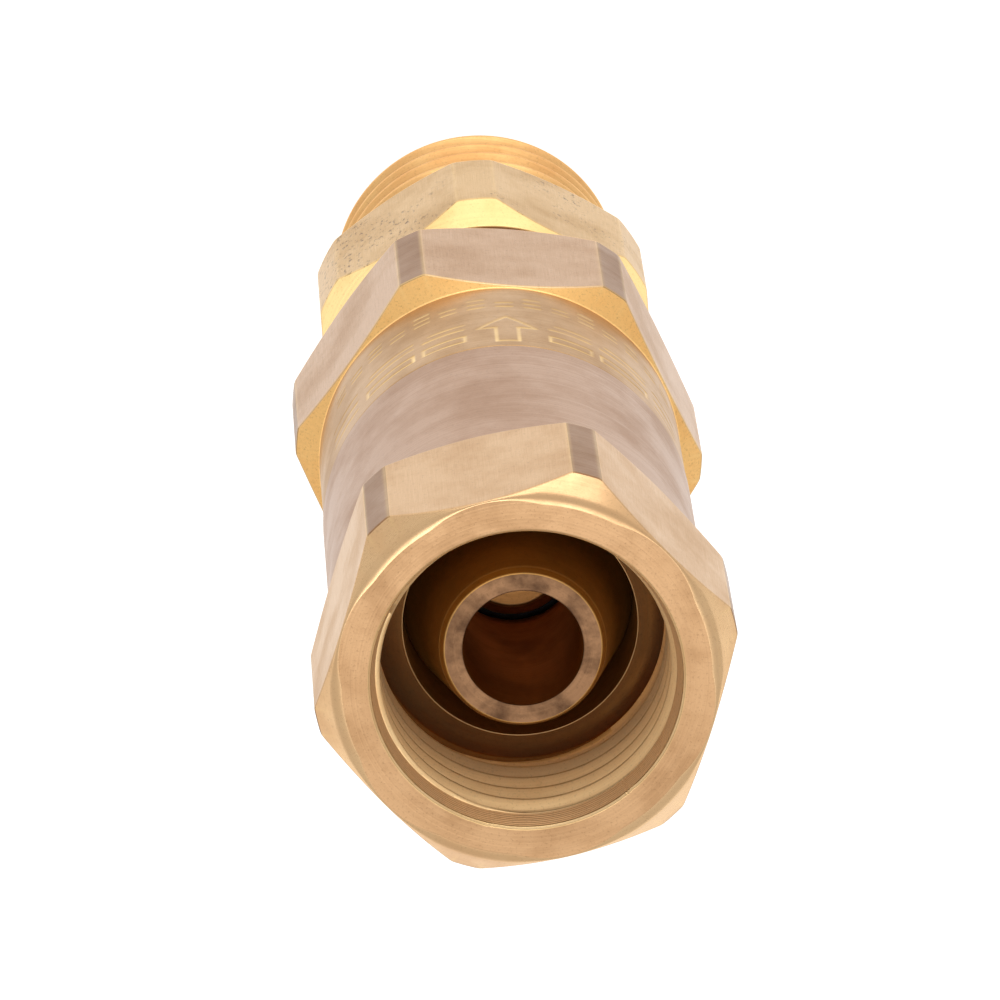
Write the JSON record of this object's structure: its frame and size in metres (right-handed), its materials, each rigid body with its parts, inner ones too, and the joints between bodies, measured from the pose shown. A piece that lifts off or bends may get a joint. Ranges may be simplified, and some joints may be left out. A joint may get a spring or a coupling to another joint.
{
  "type": "check valve",
  "caption": "Brass in-line check valve with a female threaded inlet, a male threaded outlet and a soft-seated poppet held shut by a spring.",
  "frame": {"origin": "on the valve axis, in the outlet's end face, which stands on the ground plane", "axes": "+Z along the valve axis from the outlet to the inlet; +Y is the direction one flat of the main body's hexagon faces"},
  "size_m": [0.018, 0.0178, 0.059],
  "materials": {
    "socket_brass": "turned and lightly tarnished",
    "body_brass": "turned and lightly tarnished",
    "outlet_brass": "turned, orange on the thread",
    "tube_brass": "satin, stained",
    "inner_brass": "turned",
    "seal_rubber": "matt",
    "spring_steel": "drawn wire",
    "washer_steel": "stamped",
    "guide_plastic": "machined"
  },
  "bodies": {
    "housing": {"inlet_socket": "socket_brass", "inlet_tube": "tube_brass", "inlet_tube_seal": "seal_rubber", "seat_ring": "inner_brass", "seat_ring_seal": "seal_rubber", "main_body": "body_brass", "body_seal": "seal_rubber", "outlet_connector": "outlet_brass", "outlet_seal": "seal_rubber", "return_spring": "spring_steel", "spring_seat": "washer_steel", "stem_guide": "inner_brass", "guide_bush": "guide_plastic", "retaining_ring": "spring_steel"},
    "poppet_unit": {"poppet": "inner_brass", "poppet_nose": "inner_brass", "poppet_seal": "seal_rubber", "seal_washer": "washer_steel", "stem_clip": "spring_steel"}
  },
  "joints": [
    {"name": "poppet_lift", "type": "slide", "parent": "housing", "child": "poppet_unit", "axis": [0, 0, -1], "range_m": [0, 0.0025], "stiffness_N_per_m": 400, "springref_m": -0.002, "deforming": ["return_spring"]}
  ]
}
